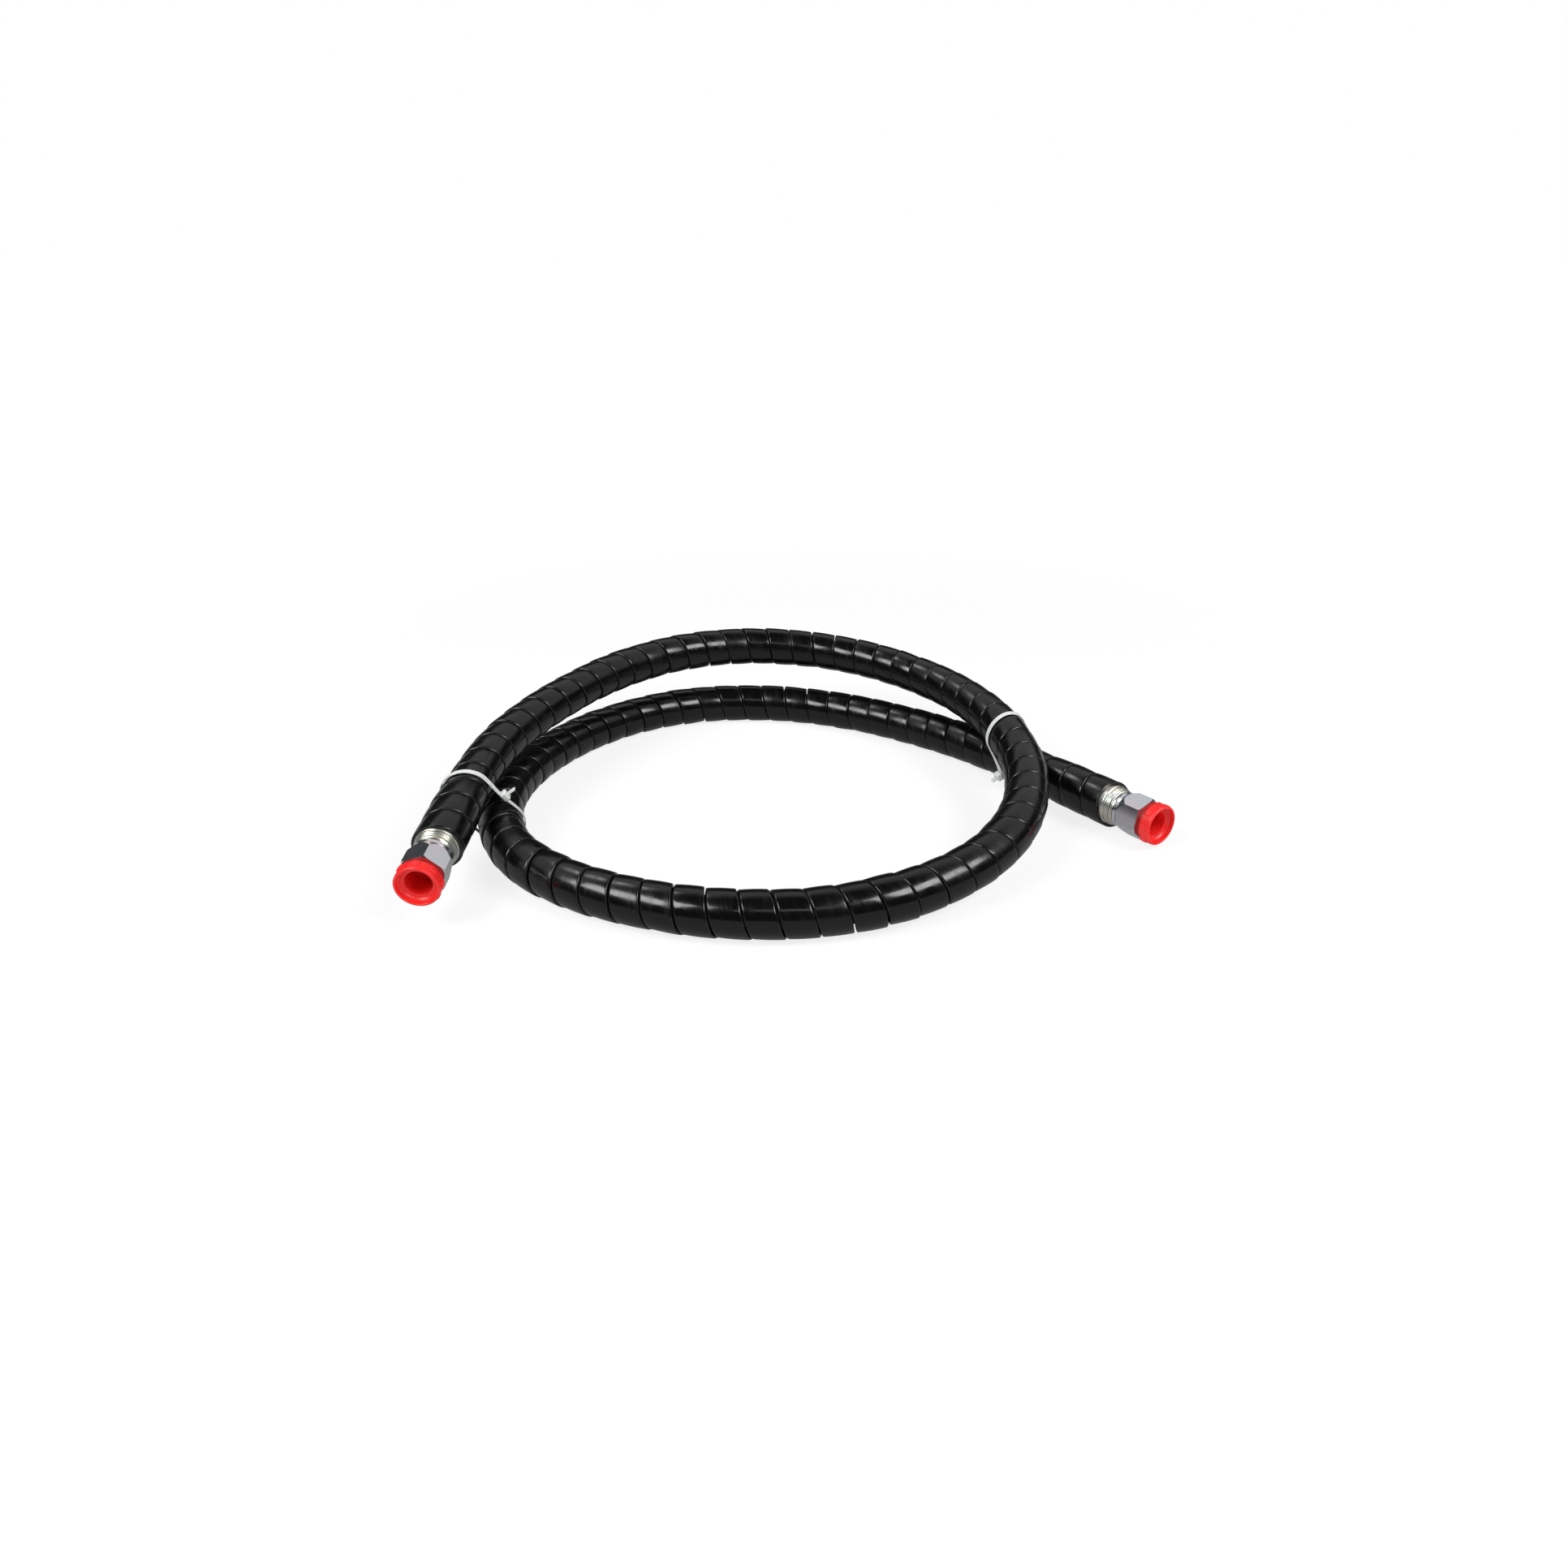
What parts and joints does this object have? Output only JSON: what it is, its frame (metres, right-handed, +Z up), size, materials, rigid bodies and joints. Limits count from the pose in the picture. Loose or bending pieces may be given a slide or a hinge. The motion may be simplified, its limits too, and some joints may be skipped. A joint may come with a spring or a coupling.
{
  "type": "hydraulic hose assembly",
  "caption": "Coiled high-pressure hose in a black spiral guard, with a swivel nut fitting and a pull-out plug at each end and cable ties round its crossings.",
  "frame": {"origin": "centre of the footprint, on the floor that the coil lies on", "axes": "+X to the right, towards the end that lies on the floor; +Y away from the two open ends; +Z up"},
  "size_m": [0.5684, 0.4513, 0.0896],
  "materials": {
    "guard": "glossy black polyethylene",
    "rubber": "satin black",
    "braid": "drawn wire",
    "zinc": "bright zinc plating",
    "plug": "red polyethylene, semi-gloss",
    "tie": "natural nylon"
  },
  "bodies": {
    "hose": {"hose_inner_tube": "rubber", "wire_braid_inner": "braid", "braid_separator": "rubber", "wire_braid_outer": "braid", "hose_cover": "rubber", "spiral_guard": "guard", "left_ferrule": "zinc", "right_ferrule": "zinc", "left_hose_insert": "zinc", "right_hose_insert": "zinc", "left_o_ring": "rubber", "right_o_ring": "rubber", "left_retaining_wire": "braid", "right_retaining_wire": "braid", "left_cable_tie": "tie", "right_cable_tie": "tie"},
    "nut_left": {"left_swivel_nut": "zinc"},
    "nut_right": {"right_swivel_nut": "zinc"},
    "plug_left": {"left_plug": "plug"},
    "plug_right": {"right_plug": "plug"}
  },
  "joints": [
    {"name": "nut_left_turn", "type": "hinge", "parent": "hose", "child": "nut_left", "pos_m": [-0.26631, -0.17944, 0.0379], "axis": [-0.0425, -0.9915, -0.1228], "continuous": true},
    {"name": "nut_right_turn", "type": "hinge", "parent": "hose", "child": "nut_right", "pos_m": [0.25767, -0.06419, 0.02083], "axis": [0.5708, -0.8211, 0.005], "continuous": true},
    {"name": "plug_left_pull", "type": "slide", "parent": "nut_left", "child": "plug_left", "axis": [-0.0425, -0.9915, -0.1228], "range_m": [0, 0.03]},
    {"name": "plug_right_pull", "type": "slide", "parent": "nut_right", "child": "plug_right", "axis": [0.5708, -0.8211, 0.005], "range_m": [0, 0.03]}
  ]
}
